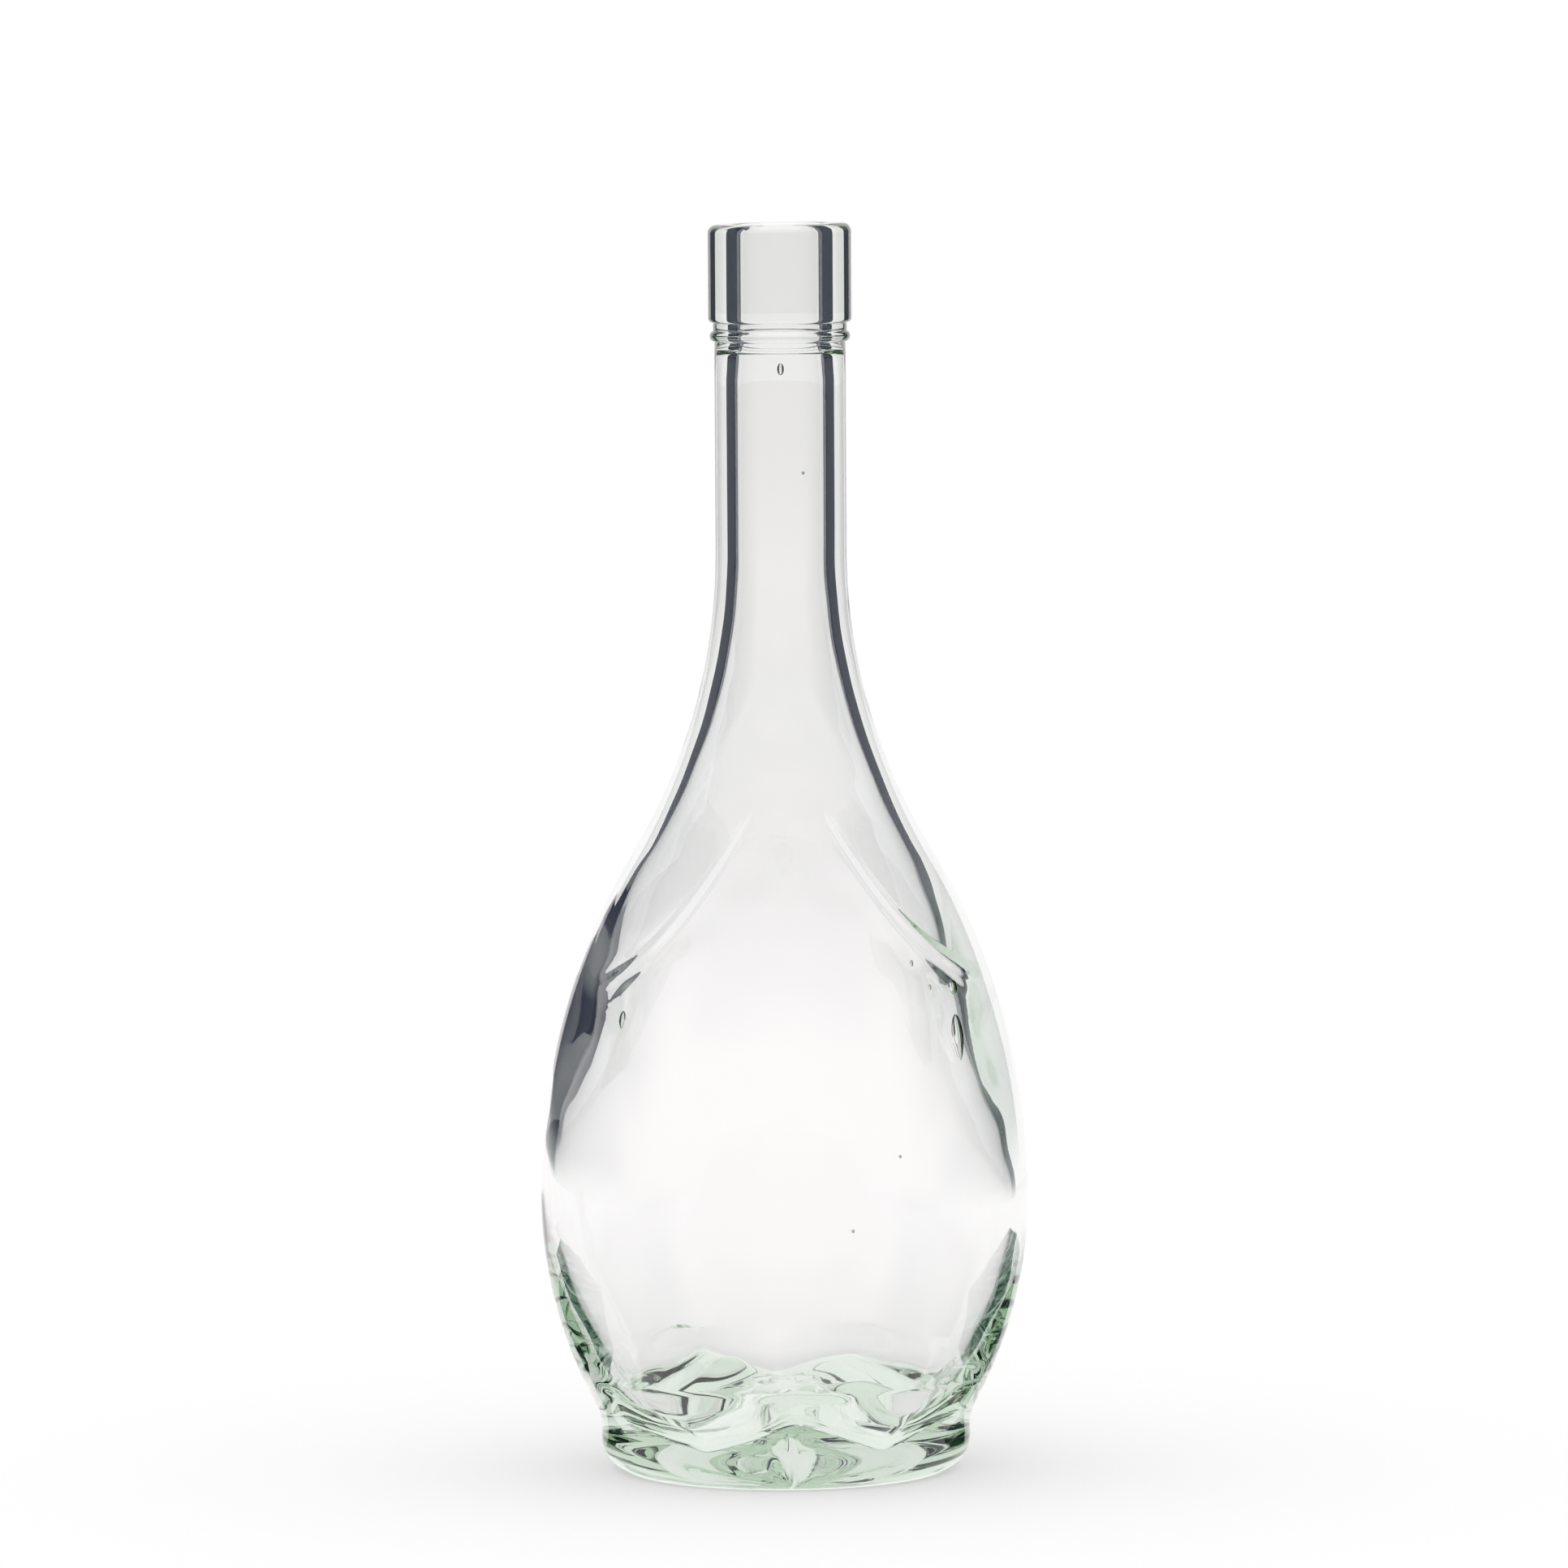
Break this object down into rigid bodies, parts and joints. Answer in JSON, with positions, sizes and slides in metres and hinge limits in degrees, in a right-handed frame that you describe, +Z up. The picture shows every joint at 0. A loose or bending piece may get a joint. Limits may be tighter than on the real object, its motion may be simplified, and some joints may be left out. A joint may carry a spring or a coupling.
{
  "type": "glass bottle",
  "caption": "Pear-shaped clear glass bottle with a long straight neck, a collared mouth for a cork, tent-topped label panels front and back, and a star pressed up into its base.",
  "frame": {"origin": "centre of the standing ring, on the surface that the bottle stands on", "axes": "+Z up along the bottle's axis towards the mouth, +Y to the back, +X to the right as seen from the front, label panels facing -Y and +Y"},
  "size_m": [0.1004, 0.0988, 0.2565],
  "materials": {
    "glass": "clear, polished, faintly green where it is thick"
  },
  "bodies": {
    "root": {"glass_bottle": "glass"}
  },
  "joints": []
}
